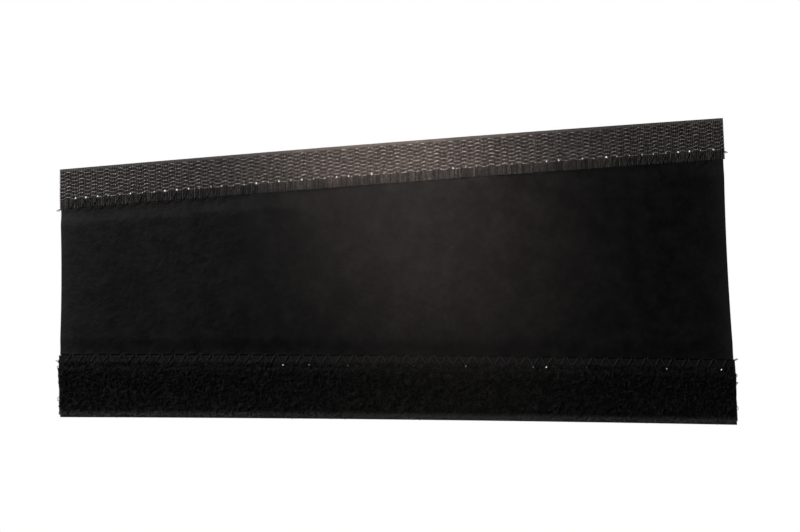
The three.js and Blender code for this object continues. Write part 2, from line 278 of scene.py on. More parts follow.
inward /= np.maximum(np.linalg.norm(inward, axis=2, keepdims=True), 1e-9)
jersey_rim = np.array([0, 0, JERSEY_THICKNESS])
foam_rim = jersey_rim + [0, 0, FOAM_STEP]
recess = FOAM_RECESS * inward
panel_mesh, face_count, rim_count = closed_sheet("neoprene_sheet", [
    front, front - jersey_rim, front - foam_rim + recess, back + foam_rim + recess, back + jersey_rim, back,
])


class Wire:
    """A socket in a node tree. Plain arithmetic on it adds the Math nodes."""

    def __init__(self, tree, socket):
        self.tree, self.socket = tree, socket

    def math(self, operation, *others):
        return calculated(self.tree, operation, self, *others)


def add(tree, kind, inputs=None, **settings):
    """Adds a node, then sets or links its inputs by name or number."""
    node = tree.nodes.new(kind)
    for key, value in settings.items():
        setattr(node, key, value)
    for key, value in (inputs or {}).items():
        if isinstance(value, (Wire, bpy.types.NodeSocket)):
            tree.links.new(getattr(value, "socket", value), node.inputs[key])
        else:
            node.inputs[key].default_value = value
    return node


def made(tree, kind, inputs=None, **settings):
    """Adds a node the same way and gives its first output."""
    return add(tree, kind, inputs, **settings).outputs[0]


def calculated(tree, operation, *values):
    return Wire(tree, made(tree, "ShaderNodeMath", dict(enumerate(values)), operation=operation))


for name, operation in (("add", "ADD"), ("sub", "SUBTRACT"), ("mul", "MULTIPLY"), ("truediv", "DIVIDE")):
    setattr(Wire, f"__{name}__", lambda a, b, op=operation: calculated(a.tree, op, a, b))
    setattr(Wire, f"__r{name}__", lambda a, b, op=operation: calculated(a.tree, op, b, a))


def split(tree, vector):
    return [Wire(tree, part) for part in add(tree, "ShaderNodeSeparateXYZ", {0: vector}).outputs]


def point(tree, x=0.0, y=0.0, z=0.0):
    return made(tree, "ShaderNodeCombineXYZ", {"X": x, "Y": y, "Z": z})


def noise(tree, vector, scale, detail=2.0, roughness=0.5):
    inputs = {"Vector": vector, "Scale": scale, "Detail": detail, "Roughness": roughness}
    return Wire(tree, made(tree, "ShaderNodeTexNoise", inputs))


def rising(tree, value, low, high):
    """A mask that rises evenly from 0 to 1 as a value goes from low to high."""
    inputs = {"Value": value, "From Min": low, "From Max": high}
    return Wire(tree, made(tree, "ShaderNodeMapRange", inputs))


def bumped(tree, height, strength, depth, **under):
    inputs = {"Height": height, "Strength": strength, "Distance": depth} | under
    return made(tree, "ShaderNodeBump", inputs)


def blended(tree, share, dark, light):
    return add(tree, "ShaderNodeMix", {0: share, 6: dark, 7: light}, data_type="RGBA").outputs[2]


def fibre_group():
    """Fine fibres that lie one way: a mask of light and dark strands, and a normal that stands them up."""
    tree = bpy.data.node_groups.new("fibres", "ShaderNodeTree")
    for name, kind in (("Vector", "Vector"), ("Grain", "Vector"), ("Depth", "Float")):
        tree.interface.new_socket(name=name, in_out="INPUT", socket_type=f"NodeSocket{kind}")
    tree.interface.new_socket(name="Mask", in_out="OUTPUT", socket_type="NodeSocketFloat")
    tree.interface.new_socket(name="Normal", in_out="OUTPUT", socket_type="NodeSocketVector")
    given = add(tree, "NodeGroupInput").outputs
    both = {0: given["Vector"], 1: given["Grain"]}
    stretched = made(tree, "ShaderNodeVectorMath", both, operation="MULTIPLY")
    mask = rising(tree, noise(tree, stretched, 1.0, 3.0, 0.65), 0.3, 0.72)
    add(tree, "NodeGroupOutput", {"Mask": mask, "Normal": bumped(tree, mask, 1.0, given["Depth"])})
    return tree


def new_material(name, roughness, specular=0.5, sheen=0.0):
    """A material with a bare Principled shader, and its Object coordinates."""
    material = bpy.data.materials.new(name)
    material.use_nodes = True
    tree = material.node_tree
    shader = tree.nodes["Principled BSDF"].inputs
    shader["Roughness"].default_value = roughness
    shader["Specular IOR Level"].default_value = specular
    shader["Sheen Weight"].default_value = sheen
    shader["Sheen Roughness"].default_value = 0.4
    return material, tree, shader, add(tree, "ShaderNodeTexCoord").outputs["Object"]


fibres = fibre_group()


def strands(tree, at, grain, depth):
    """The fibres group on a material's own coordinates."""
    node = add(tree, "ShaderNodeGroup", node_tree=fibres)
    tree.links.new(at, node.inputs["Vector"])
    node.inputs["Grain"].default_value = grain
    node.inputs["Depth"].default_value = depth
    return Wire(tree, node.outputs["Mask"]), node.outputs["Normal"]


def black_jersey():
    """Fine warp knit with soft clouds of wear, and painted floor glow in the fibres along the raw ends."""
    material, tree, shader, at = new_material("black_nylon_jersey", 0.5, 0.12, 0.01)
    x, y, _ = split(tree, at)
    wales = (x * (2 * math.pi / KNIT_WALE) + noise(tree, at, 260.0) * 5.0).math("SINE")
    knit = wales * (y * (2 * math.pi / KNIT_COURSE)).math("SINE")
    bloom, fuzz = strands(tree, at, (2600.0, 3800.0, 3000.0), FUZZ_DEPTH)
    rumple = bumped(tree, noise(tree, at, 420.0, 4.0, 0.6), 1.0, RUMPLE_DEPTH, Normal=fuzz)
    bump = bumped(tree, knit, 0.5, KNIT_DEPTH, Normal=rumple)
    cloud = rising(tree, noise(tree, at, 150.0, 5.0, 0.7), 0.4, 0.75)
    toned = blended(tree, bloom * cloud, JERSEY_BLACK, JERSEY_WORN)
    # Painted glow: the fabric turns a lighter grey near the raw ends, standing in for the lit floor's light
    # beside them.
    raw = Wire(tree, add(tree, "ShaderNodeAttribute", attribute_name="raw_edge_glow").outputs["Fac"])
    tree.links.new(blended(tree, raw * (bloom * 0.5 + 0.25), toned, RAW_EDGE_GLOW_GREY), shader["Base Color"])
    tree.links.new(bump, shader["Normal"])
    return material


def cut_foam():
    material, tree, shader, at = new_material("cut_foam_rubber", 0.85, 0.3)
    cells = add(tree, "ShaderNodeTexVoronoi", {"Vector": at, "Scale": 5200.0}).outputs["Distance"]
    tree.links.new(blended(tree, cells, FOAM_BLACK, JERSEY_WORN), shader["Base Color"])
    tree.links.new(bumped(tree, cells, 0.8, FOAM_CELL_DEPTH), shader["Normal"])
    return material


neoprene_piece = shown("neoprene_sheet", panel_mesh, black_jersey())
panel_points = np.empty(3 * len(panel_mesh.vertices), np.float32)
panel_mesh.vertices.foreach_get("co", panel_points)
along, across = loop_edge.inside(panel_points.reshape(-1, 3))
# How near each point is to a raw end. This sets the painted glow there.
from_end = np.minimum(along, loop_edge.length - along) - PANEL_END_INSET
raw_edge_glow = panel_mesh.attributes.new("raw_edge_glow", "FLOAT", "POINT")
raw_edge_glow.data.foreach_set("value", np.exp(-np.maximum(from_end, 0) / RAW_EDGE_GLOW_WIDTH).astype(np.float32))
panel_mesh.materials.append(cut_foam())
foam_walls = np.zeros(len(panel_mesh.polygons), np.int32)
foam_walls[face_count + rim_count:face_count + 4 * rim_count] = 1
panel_mesh.polygons.foreach_set("material_index", foam_walls)
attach(neoprene_piece, "root")
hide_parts("neoprene_panel")


# The hook tape's ground weave. Stout black weft yarns cross the tape as close ribs, and thin warp yarns run
# its length and hold them. The hook yarns lift them in places, and they part round each needle hole.
HOOK_TAPE_LENGTH = hook_edge.length
RIB_PITCH = 0.7 * MM
RIB_WIDTH = 0.78 * MM
RIB_HEIGHT = 0.46 * MM
RIB_MIDDLE = TAPE_UNDERSIDE + 0.27 * MM
RIB_NARROWING = 0.35
RIB_WANDER = 0.1 * MM
RIB_POINTS = 50
WARP_PITCH = 0.48 * MM
SELVEDGE_WARP_PITCH = 0.3 * MM
SEAM_WARP_PITCH = 0.85 * MM
WARP_WIDTH = 0.3 * MM
WARP_HEIGHT = 0.16 * MM
WARP_CREST = 0.24 * MM
WARP_WANDER = 0.22 * MM
EDGE_WARP_INSET = 0.15 * MM
FIELD_WARP_INSET = 0.35 * MM
SEAM_WARP_INSET = 0.9 * MM
SELVEDGE_WIDTH = 1.5 * MM
GLOWING_SELVEDGE = (0.7 * MM, 1.6 * MM)
FIELD_END = hook_seam.panel_edge + 0.1 * MM
NARROWING_WIDTH = 0.5 * MM
FIRST_ARC_ROW = 1.5 * MM
HOOK_ROW_PITCH = 1.44 * MM
HOOK_ROWS = 8
WAVE_LENGTH = 5.3 * MM
GROUND_RELIEF = 0.07 * MM
NEEDLE_HOLE_RADIUS = 0.38 * MM
NEEDLE_HOLE_REACH = 0.42 * MM
STRAND_DEPTH = 0.05 * MM
FLOOR_CLEARANCE = 0.02 * MM
YARN_DARK = (0.016, 0.0148, 0.0138, 1)
YARN_LIGHT = (0.313, 0.271, 0.247, 1)
YARN_EDGE_GLOW = (0.230, 0.210, 0.190, 1)


def geometry_tree(name, sizes):
    """A Geometry Nodes tree with a geometry in and out and a named input for each size."""
    tree = bpy.data.node_groups.new(name, "GeometryNodeTree")
    tree.interface.new_socket(name="Geometry", in_out="INPUT", socket_type="NodeSocketGeometry")
    tree.interface.new_socket(name="Geometry", in_out="OUTPUT", socket_type="NodeSocketGeometry")
    for size in sizes:
        kind = "Object" if size.endswith("Points") else "Float"
        tree.interface.new_socket(name=size, in_out="INPUT", socket_type=f"NodeSocket{kind}")
    given = add(tree, "NodeGroupInput").outputs
    return tree, given["Geometry"], {size: Wire(tree, given[size]) for size in sizes}


def finish_tree(tree, geometry, material):
    """Ends a tree in Realize Instances, smooth faces and Set Material."""
    real = made(tree, "GeometryNodeRealizeInstances", {0: geometry})
    smooth = made(tree, "GeometryNodeSetShadeSmooth", {0: real})
    coated = made(tree, "GeometryNodeSetMaterial", {"Geometry": smooth, "Material": material})
    add(tree, "NodeGroupOutput", {"Geometry": coated})


def grown(name, tree, sizes, edge, base=None):
    """Runs a tree, keeps the result as a plain mesh and lays it on an edge's curve. Its straight form stays
    on it as an attribute, which a finish that runs with the tape reads."""
    holder = shown(name + "_base", base or bpy.data.meshes.new(name + "_base"))
    modifier = holder.modifiers.new(name, "NODES")
    modifier.node_group = tree
    sockets = {item.name: item.identifier for item in tree.interface.items_tree if item.in_out == "INPUT"}
    for size, value in sizes.items():
        modifier[sockets[size]] = value
    evaluated = holder.evaluated_get(bpy.context.evaluated_depsgraph_get())
    mesh = bpy.data.meshes.new_from_object(evaluated)
    bpy.data.objects.remove(holder)
    points = np.empty(3 * len(mesh.vertices), np.float32)
    mesh.vertices.foreach_get("co", points)
    mesh.attributes.new("straight", "FLOAT_VECTOR", "POINT").data.foreach_set("vector", points)
    laid = edge.lay(points.reshape(-1, 3)).astype(np.float32)
    laid[:, 2] = np.maximum(laid[:, 2], FLOOR_CLEARANCE)
    mesh.vertices.foreach_set("co", laid.ravel())
    mesh.name = name
    mesh.update()
    return shown(name, mesh)


def oval(tree, width, height, sides):
    circle = made(tree, "GeometryNodeCurvePrimitiveCircle", {"Resolution": sides, "Radius": 0.5})
    scale = point(tree, width, height, 1.0)
    return made(tree, "GeometryNodeTransform", {"Geometry": circle, "Scale": scale})


def tube(tree, curve, profile):
    ends = {"Curve": curve, "Profile Curve": profile, "Fill Caps": True}
    return made(tree, "GeometryNodeCurveToMesh", ends)


def copies_at(tree, points, instance, **placed):
    inputs = {"Points": points, "Instance": instance} | placed
    copies = made(tree, "GeometryNodeInstanceOnPoints", inputs)
    return made(tree, "GeometryNodeRealizeInstances", {0: copies})


def repeated(tree, instance, count, start, step):
    places = made(tree, "GeometryNodeMeshLine", {"Count": count, "Start Location": start, "Offset": step})
    return copies_at(tree, places, instance)


def yarn_line(tree, end, count):
    line = made(tree, "GeometryNodeCurvePrimitiveLine", {"End": end})
    return made(tree, "GeometryNodeResampleCurve", {"Curve": line, "Count": count})


def position(tree):
    return made(tree, "GeometryNodeInputPosition")


def moved(tree, geometry, x=0.0, y=0.0, z=0.0):
    inputs = {"Geometry": geometry, "Offset": point(tree, x, y, z)}
    return made(tree, "GeometryNodeSetPosition", inputs)


def parted(offset, gap, pitch):
    """How far a yarn at an offset from a gap's middle moves aside, in a row of yarns that touch."""
    return offset.math("SIGN") * (offset * offset + gap * (gap + pitch)).math("SQRT") - offset


def gap_at(offset, gap, reach):
    """A gap's radius at an offset along the yarn, faded out beyond its reach."""
    return gap * (0.0 - (offset / reach) * (offset / reach)).math("EXPONENT")


def straight_place(tree):
    """Where a point of a tape was before the tape was laid: along, across and up."""
    return split(tree, add(tree, "ShaderNodeAttribute", attribute_name="straight").outputs["Vector"])


def fade(tree, value, full, none):
    """A mask that falls softly from 1 to 0 as a value goes from full to none."""
    return Wire(tree, made(tree, "ShaderNodeMapRange", {
        "Value": value, "From Min": full, "From Max": none, "To Min": 1.0, "To Max": 0.0,
    }, interpolation_type="SMOOTHSTEP"))


def wave_along(along, wave_length):
    """From 1 where the hook yarns swing outermost to -1 where they swing back, the same in every row."""
    return (along * (2 * math.pi) / wave_length).math("COSINE")


def lifted(tree, along, across, wave_length, first_row, row_pitch, rows):
    """From 1 where a hook yarn lifts the ground to -1 in the pockets between, and 0 past the last row."""
    between = ((across - first_row) * (2 * math.pi) / row_pitch).math("COSINE")
    last = first_row + row_pitch * (rows - 1.0)
    return wave_along(along, wave_length) * between * fade(tree, across, last, last + row_pitch * 0.5)


def weave_yarn(name, grain):
    """Spun black yarn: strands along it, painted light on the lifts and painted shade in the pockets between,
    ribs past the hook rows painted darker, each its own tone, and painted floor glow on the outer selvedge."""
    material, tree, shader, at = new_material(name, 0.5, 0.4, 0.03)
    mask, normal = strands(tree, at, grain, STRAND_DEPTH)
    coarse, _ = strands(tree, at, [0.25 * length for length in grain], STRAND_DEPTH)
    along, across, _ = straight_place(tree)
    rib = made(tree, "ShaderNodeTexWhiteNoise", {0: point(tree, (along / RIB_PITCH).math("FLOOR"))})
    # Painted highlight and shade: lighter where hook yarns lift the ground, darker in the pockets between
    # them.
    lift_light_pocket_shade = lifted(tree, along, across, WAVE_LENGTH, FIRST_ARC_ROW, HOOK_ROW_PITCH, HOOK_ROWS)
    # Painted shade: past the hook rows, over the panel, the ribs are painted darker on average, each in its
    # own tone.
    shaded_band = 1.0 - fade(tree, across, hook_seam.tape_row, hook_seam.panel_edge)
    uneven = (Wire(tree, rib) * 1.1 - 1.1) * shaded_band + 1.0
    shade = mask * coarse * uneven * (lift_light_pocket_shade * 0.9 + 1.0)
    toned = blended(tree, shade, YARN_DARK, YARN_LIGHT)
    # Painted glow: the outer selvedge is painted lighter, standing in for the lit floor's light at the tape's
    # edge.
    selvedge_glow = fade(tree, across, *GLOWING_SELVEDGE) * (mask + 0.3)
    tree.links.new(blended(tree, selvedge_glow, toned, YARN_EDGE_GLOW), shader["Base Color"])
    tree.links.new(normal, shader["Normal"])
    return material


def nearest_hole(tree, here, size):
    """Where the needle hole nearest to a point is, and its radius."""
    holes = add(tree, "GeometryNodeObjectInfo", {"Object": size["Hole Points"]}).outputs["Geometry"]
    nearest = made(tree, "GeometryNodeSampleNearest", {"Geometry": holes}, domain="POINT")
    hole = made(tree, "GeometryNodeSampleIndex", {
        "Geometry": holes, "Value": here, "Index": nearest,
    }, data_type="FLOAT_VECTOR")
    hole_x, hole_y, open_share = split(tree, hole)
    return hole_x, hole_y, size["Hole Radius"] * open_share


def rib_tree(material):
    tree, _, size = geometry_tree("weft_ribs", [
        "Length", "Width", "Pitch", "Yarn Width", "Yarn Height", "Middle", "Hole Points", "Hole Radius",
        "Wave Length", "Row Pitch", "First Row", "Rows", "Relief", "Lap Start", "Narrowing",
    ])
    pick = yarn_line(tree, point(tree, y=size["Width"]), RIB_POINTS)
    start = point(tree, size["Pitch"] / 2.0, 0.0, size["Middle"])
    picks = repeated(tree, pick, size["Length"] / size["Pitch"], start, point(tree, size["Pitch"]))
    here = position(tree)
    x, y, _ = split(tree, here)
    hole_x, hole_y, hole_radius = nearest_hole(tree, here, size)
    needle = gap_at(y - hole_y, hole_radius, NEEDLE_HOLE_REACH)
    shift = parted(x - hole_x, needle, size["Pitch"]) + (noise(tree, here, 330.0) - 0.5) * RIB_WANDER
    rows = [size[name] for name in ("Wave Length", "First Row", "Row Pitch", "Rows")]
    rise = lifted(tree, x, y, *rows) * size["Relief"]
    past_lap = 1.0 - fade(tree, y, size["Lap Start"], size["Lap Start"] + NARROWING_WIDTH)
    laid = made(tree, "GeometryNodeSetCurveRadius", {
        "Curve": moved(tree, picks, x=shift, z=rise), "Radius": 1.0 - past_lap * size["Narrowing"],
    })
    finish_tree(tree, tube(tree, laid, oval(tree, size["Yarn Width"], size["Yarn Height"], 5)), material)
    return tree


def hole_points(seam):
    """A seam's needle holes as points. In place of a height, each has its open share in millimetres."""
    mesh = bpy.data.meshes.new("needle_holes")
    across = np.full(len(seam.holes), seam.tape_row)
    mesh.from_pydata(np.column_stack([seam.holes, across, seam.open * MM]), [], [])
    return shown("needle_holes", mesh)


def warp_tree(material):
    """Warp yarns side by side, each over one rib and under the next, and round the needle holes."""
    tree, _, size = geometry_tree("warp_yarns", [
        "Length", "From", "To", "Pitch", "Yarn Width", "Yarn Height", "Middle", "Crest", "Rib Pitch",
        "Hole Points", "Hole Radius",
    ])
    yarn = yarn_line(tree, point(tree, size["Length"]), size["Length"] / size["Rib Pitch"] * 2.0 + 1.0)
    start = point(tree, 0.0, size["From"], size["Middle"])
    number = ((size["To"] - size["From"]) / size["Pitch"]).math("FLOOR") + 1.0
    yarns = repeated(tree, yarn, number, start, point(tree, y=size["Pitch"]))
    here = position(tree)
    x, y, _ = split(tree, here)
    side = ((y - size["From"]) / size["Pitch"]).math("ROUND")
    height = ((x / size["Rib Pitch"] - 0.5 + side) * math.pi).math("COSINE") * size["Crest"]
    hole_x, hole_y, hole_radius = nearest_hole(tree, here, size)
    aside = parted(y - hole_y, gap_at(x - hole_x, hole_radius, NEEDLE_HOLE_REACH), size["Pitch"])
    laid = moved(tree, yarns, y=(noise(tree, here, 520.0) - 0.5) * WARP_WANDER + aside, z=height)
    finish_tree(tree, tube(tree, laid, oval(tree, size["Yarn Width"], size["Yarn Height"], 4)), material)
    return tree


weft_material = weave_yarn("black_weft_yarn", (5200.0, 900.0, 5200.0))
warp_material = weave_yarn("black_warp_yarn", (900.0, 5200.0, 5200.0))
hook_tape_holes = {"Hole Points": hole_points(hook_seam), "Hole Radius": NEEDLE_HOLE_RADIUS / MM}
hook_tape_ribs = grown("hook_tape_weft_ribs", rib_tree(weft_material), hook_tape_holes | {
    "Length": HOOK_TAPE_LENGTH, "Width": HOOK_TAPE_WIDTH, "Pitch": RIB_PITCH,
    "Yarn Width": RIB_WIDTH, "Yarn Height": RIB_HEIGHT, "Middle": RIB_MIDDLE,
    "Wave Length": WAVE_LENGTH, "Row Pitch": HOOK_ROW_PITCH, "First Row": FIRST_ARC_ROW,
    "Rows": float(HOOK_ROWS), "Relief": GROUND_RELIEF, "Lap Start": FIELD_END, "Narrowing": RIB_NARROWING,
}, hook_edge)
warps = warp_tree(warp_material)
hook_tape_warps = []
for part, first, last, pitch in (
    ("outer", EDGE_WARP_INSET, SELVEDGE_WIDTH, SELVEDGE_WARP_PITCH),
    ("field", SELVEDGE_WIDTH + FIELD_WARP_INSET, FIELD_END, WARP_PITCH),
    ("inner", hook_seam.panel_edge + SEAM_WARP_INSET, HOOK_TAPE_WIDTH - EDGE_WARP_INSET, SEAM_WARP_PITCH),
):
    hook_tape_warps.append(grown(f"hook_tape_{part}_warps", warps, hook_tape_holes | {
        "Length": HOOK_TAPE_LENGTH, "From": first, "To": last, "Pitch": pitch, "Yarn Width": WARP_WIDTH,
        "Yarn Height": WARP_HEIGHT, "Middle": RIB_MIDDLE, "Crest": WARP_CREST, "Rib Pitch": RIB_PITCH,
    }, hook_edge))
for piece in (hook_tape_ribs, *hook_tape_warps):
    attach(piece, "root")
    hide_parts("hook_tape")


# The hook yarns. Stiff nylon monofilament is woven in lengthwise, in waves side by side. It lies on the
# ground in short bright arcs, and between them it dips to stand out below as small crooked hooks.
HOOK_YARN_WIDTH = 0.26 * MM
HOOK_YARN_SWING = 0.72 * MM
HOOK_YARN_RISE = 0.05 * MM
HOOK_YARN_LIFT = 0.06 * MM
HOOK_YARN_MIDDLE = RIB_MIDDLE + 0.26 * MM
HOOK_YARN_DIP = 0.2 * MM
HOOK_YARN_WANDER = 0.12 * MM
POINTS_PER_WAVE = 28.0
ROW_SHIFT = 1.1 * MM
WAVE_SHIFT = 2.4 * MM
FIRST_HOOK_ROW = FIRST_ARC_ROW + HOOK_YARN_SWING / 2
HOOK_TOP = RIB_MIDDLE - 0.1 * MM
HOOK_TIP = 0.17 * MM
HOOK_CROOK_RADIUS = 0.3 * MM
MONOFILAMENT_DARK = (0.13, 0.116, 0.106, 1)
MONOFILAMENT_GLINT = (1.0, 0.925, 0.87, 1)


def over_ribs(along, pitch):
    """From 1 where a lengthwise yarn crosses the crown of a rib to -1 between two ribs."""
    return 0.0 - (along * (2 * math.pi) / pitch).math("COSINE")


def monofilament():
    """Smoky nylon, painted with glints where it crosses a rib, most on outer arcs, less on inner ones."""
    material, tree, shader, at = new_material("smoky_nylon_monofilament", 0.22, 0.9)
    along = straight_place(tree)[0]
    # Painted highlight: lighter where the yarn crosses the crown of a rib.
    rib_crown_glint = over_ribs(along, RIB_PITCH) * 0.5 + 0.5
    wave = wave_along(along, WAVE_LENGTH)
    # Painted highlight and shade: lighter on the outer arcs, dimmer on the inner ones.
    level = (1.0 - fade(tree, wave, 0.15, 0.85)) * 0.85 + fade(tree, wave, -0.85, -0.3) * 0.4 + 0.35
    # Painted glints: random specks of the glint colour along the yarn.
    glint_specks = noise(tree, at, 1900.0) + noise(tree, at, 450.0) * 0.4
    shade = (1.0 - fade(tree, glint_specks, 0.64, 0.75)) * (rib_crown_glint * 0.8 + 0.35) * level
    tree.links.new(blended(tree, shade, MONOFILAMENT_DARK, MONOFILAMENT_GLINT), shader["Base Color"])
    return material


def hook_yarn_tree(material):
    """Waves side by side, each row and each stretch of it shifted a little, and round the needle holes."""
    tree, _, size = geometry_tree("hook_yarns", [
        "Length", "First Row", "Row Pitch", "Rows", "Wave Length", "Swing", "Middle", "Lift", "Dip",
        "Yarn Width", "Rise", "Rib Pitch", "Hole Points", "Hole Radius",
    ])
    count = size["Length"] / size["Wave Length"] * POINTS_PER_WAVE
    yarn = yarn_line(tree, point(tree, size["Length"]), count)
    start = point(tree, 0.0, size["First Row"], size["Middle"])
    yarns = repeated(tree, yarn, size["Rows"], start, point(tree, y=size["Row Pitch"]))
    here = position(tree)
    x, y, _ = split(tree, here)
    row = made(tree, "ShaderNodeTexWhiteNoise", {0: point(tree, (y * 1000.0).math("ROUND"))})
    uneven = (Wire(tree, row) - 0.5) * ROW_SHIFT + (noise(tree, here, 330.0) - 0.5) * WAVE_SHIFT
    wave = wave_along(x + uneven, size["Wave Length"])
    wave = wave * (1.5 - wave * wave * 0.5) - (1.0 - wave * wave) * 0.3
    swing = (0.0 - wave) * size["Swing"] / 2.0 + (noise(tree, here, 700.0) - 0.5) * HOOK_YARN_WANDER
    hole_x, hole_y, hole_radius = nearest_hole(tree, here, size)
    needle = gap_at(x - hole_x, hole_radius, NEEDLE_HOLE_REACH)
    swing += parted(y + swing - hole_y, needle, size["Yarn Width"])
    height = over_ribs(x, size["Rib Pitch"]) * size["Rise"] + wave * size["Lift"]
    height -= (1.0 - wave.math("ABSOLUTE")) * size["Dip"]
    profile = oval(tree, size["Yarn Width"], size["Yarn Width"], 5)
    finish_tree(tree, tube(tree, moved(tree, yarns, y=swing, z=height), profile), material)
    return tree


def hook_stand_tree(material):
    """One hook, a stem down from the ground that turns back up at its tip, copied to each dip."""
    tree, _, size = geometry_tree("hooks", [
        "Length", "First Row", "Row Pitch", "Rows", "Wave Length", "Top", "Tip", "Crook Radius", "Yarn Width",
    ])
    turn_height = size["Tip"] + size["Crook Radius"]
    stem = made(tree, "GeometryNodeCurvePrimitiveLine", {
        "Start": point(tree, z=size["Top"]), "End": point(tree, z=turn_height),
    })
    stem = made(tree, "GeometryNodeResampleCurve", {"Curve": stem, "Count": 3})
    crook = made(tree, "GeometryNodeCurveArc", {
        "Resolution": 7, "Radius": size["Crook Radius"], "Start Angle": math.pi,
        "Sweep Angle": math.radians(250),
    }, mode="RADIUS")
    crook = made(tree, "GeometryNodeTransform", {
        "Geometry": crook, "Translation": point(tree, size["Crook Radius"], 0.0, turn_height),
        "Rotation": (math.pi / 2, 0.0, 0.0),
    })
    profile = oval(tree, size["Yarn Width"], size["Yarn Width"], 4)
    hook = add(tree, "GeometryNodeJoinGeometry")
    for part in (tube(tree, stem, profile), tube(tree, crook, profile)):
        tree.links.new(part, hook.inputs[0])
    half_wave = size["Wave Length"] / 2.0
    columns = made(tree, "GeometryNodeMeshLine", {
        "Count": size["Length"] / half_wave, "Start Location": point(tree, half_wave / 2.0),
        "Offset": point(tree, half_wave),
    })
    start, step = point(tree, y=size["First Row"]), point(tree, y=size["Row Pitch"])
    rows = repeated(tree, columns, size["Rows"], start, step)
    turned = made(tree, "FunctionNodeRandomValue", {
        "Min": (-0.12, -0.12, -0.5), "Max": (0.12, 0.12, 0.5), "Seed": 5,
    }, data_type="FLOAT_VECTOR")
    finish_tree(tree, copies_at(tree, rows, hook.outputs[0], Rotation=turned), material)
    return tree


nylon = monofilament()
row_sizes = {
    "Length": HOOK_TAPE_LENGTH, "First Row": FIRST_HOOK_ROW, "Row Pitch": HOOK_ROW_PITCH,
    "Rows": float(HOOK_ROWS), "Wave Length": WAVE_LENGTH, "Yarn Width": HOOK_YARN_WIDTH,
}
hook_yarns = grown("hook_yarns", hook_yarn_tree(nylon), row_sizes | hook_tape_holes | {
    "Swing": HOOK_YARN_SWING, "Middle": HOOK_YARN_MIDDLE, "Lift": HOOK_YARN_LIFT, "Dip": HOOK_YARN_DIP,
    "Rise": HOOK_YARN_RISE, "Rib Pitch": RIB_PITCH,
}, hook_edge)
hooks = grown("hooks_below", hook_stand_tree(nylon), row_sizes | {
    "Rows": HOOK_ROWS - 1.0, "Top": HOOK_TOP, "Tip": HOOK_TIP, "Crook Radius": HOOK_CROOK_RADIUS,
}, hook_edge)
bpy.data.objects.remove(hook_tape_holes["Hole Points"])
for piece in (hook_yarns, hooks):
    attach(piece, "root")
    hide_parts("hook_tape")


# The loop tape. A tightly woven black nylon base carries a dense pile of fine, tangled loops between two
# bare selvedges. It droops from the seam to the ground, and the needle has pierced it in small holes.
LOOP_BASE_THICKNESS = 0.5 * MM
LOOP_BASE_COLUMNS = 560
LOOP_BASE_ROWS = 56
RIM_LINE = 0.06 * MM
RIM_WIDTH = 0.3 * MM
PILE_HEIGHT = 1.35 * MM
PILE_SHOULDER = 0.9 * MM
PILE_EDGE = 0.3 * MM
PILE_LUMP_SHARE = 0.1
PILE_LUMP_SPACING = 3.4 * MM
PRESSED_PILE = 0.3 * MM
OUTER_LOOP_SELVEDGE = 1.2 * MM
INNER_LOOP_SELVEDGE = 1.9 * MM
PRESSED_PILE_WIDTH = 2.6 * MM
DROOP_WIDTH = 11 * MM
DROOP_END = 0.9 * MM
PIERCED_RADIUS = 0.37 * MM
PUNCH_LENGTH = 20 * MM
FIRST_LOOPS = 0.3 * MM
LAST_LOOPS = LOOP_TAPE_WIDTH - 0.35 * MM
LOOP_END_INSET = 0.5 * MM
LOOP_ROOT = 0.15 * MM
LOOP_RADIUS = 0.9 * MM
SELVEDGE_LOOP_SHARE = 0.45
SMALL_OUTER_LOOPS = (0.4 * MM, 1.6 * MM)
SMALL_INNER_LOOPS = 1.0 * MM
LOOP_FIBRE = 0.24 * MM
LOOPS_PER_SQUARE_MM = 2.2
LOOP_TAPE_LENGTH = loop_edge.length
PILE_STRAND_DEPTH = 0.08 * MM
GLOWING_OUTER_PILE = (0.6 * MM, 3.6 * MM)
PALE_INNER_PILE = 0.8 * MM
INNER_PALENESS = 0.06
PILE_SHADE = (0.004, 0.004, 0.004, 1)
PILE_BLACK = (0.008, 0.008, 0.0077, 1)
PILE_GREY = (0.090, 0.089, 0.083, 1)
SELVEDGE_GREY_AND_GLOW = (0.222, 0.217, 0.204, 1)


def tape_underside(across):
    high = loop_seam.tape_row - DROOP_END
    return TAPE_UNDERSIDE * step_between(across, high - DROOP_WIDTH, high)


def pile_height(across):
    """The pile's height above the woven base: none on the selvedges, low where the seam presses it."""
    inner = LOOP_TAPE_WIDTH - INNER_LOOP_SELVEDGE
    full = step_between(across, OUTER_LOOP_SELVEDGE, OUTER_LOOP_SELVEDGE + PILE_SHOULDER)
    full *= 1 - step_between(across, inner - PRESSED_PILE_WIDTH - PILE_SHOULDER, inner - PRESSED_PILE_WIDTH)
    low = step_between(across, OUTER_LOOP_SELVEDGE, OUTER_LOOP_SELVEDGE + PILE_EDGE)
    low *= 1 - step_between(across, inner - PILE_EDGE, inner)
    return np.maximum(PILE_HEIGHT * full, PRESSED_PILE * low)


def lumps(along, across, seed, spacing):
    """Soft random lumps about one high: a sum of waves that run every way."""
    rng = np.random.default_rng(seed)
    total = np.zeros_like(along)
    waves = rng.uniform([0, 0, 0.6], [math.pi, 2 * math.pi, 1.7], (24, 3))
    for turn, phase, stretch in waves:
        way = along * math.cos(turn) + across * math.sin(turn)
        total += np.sin(way * 2 * math.pi * stretch / spacing + phase)
    return total / math.sqrt(len(waves) / 2)


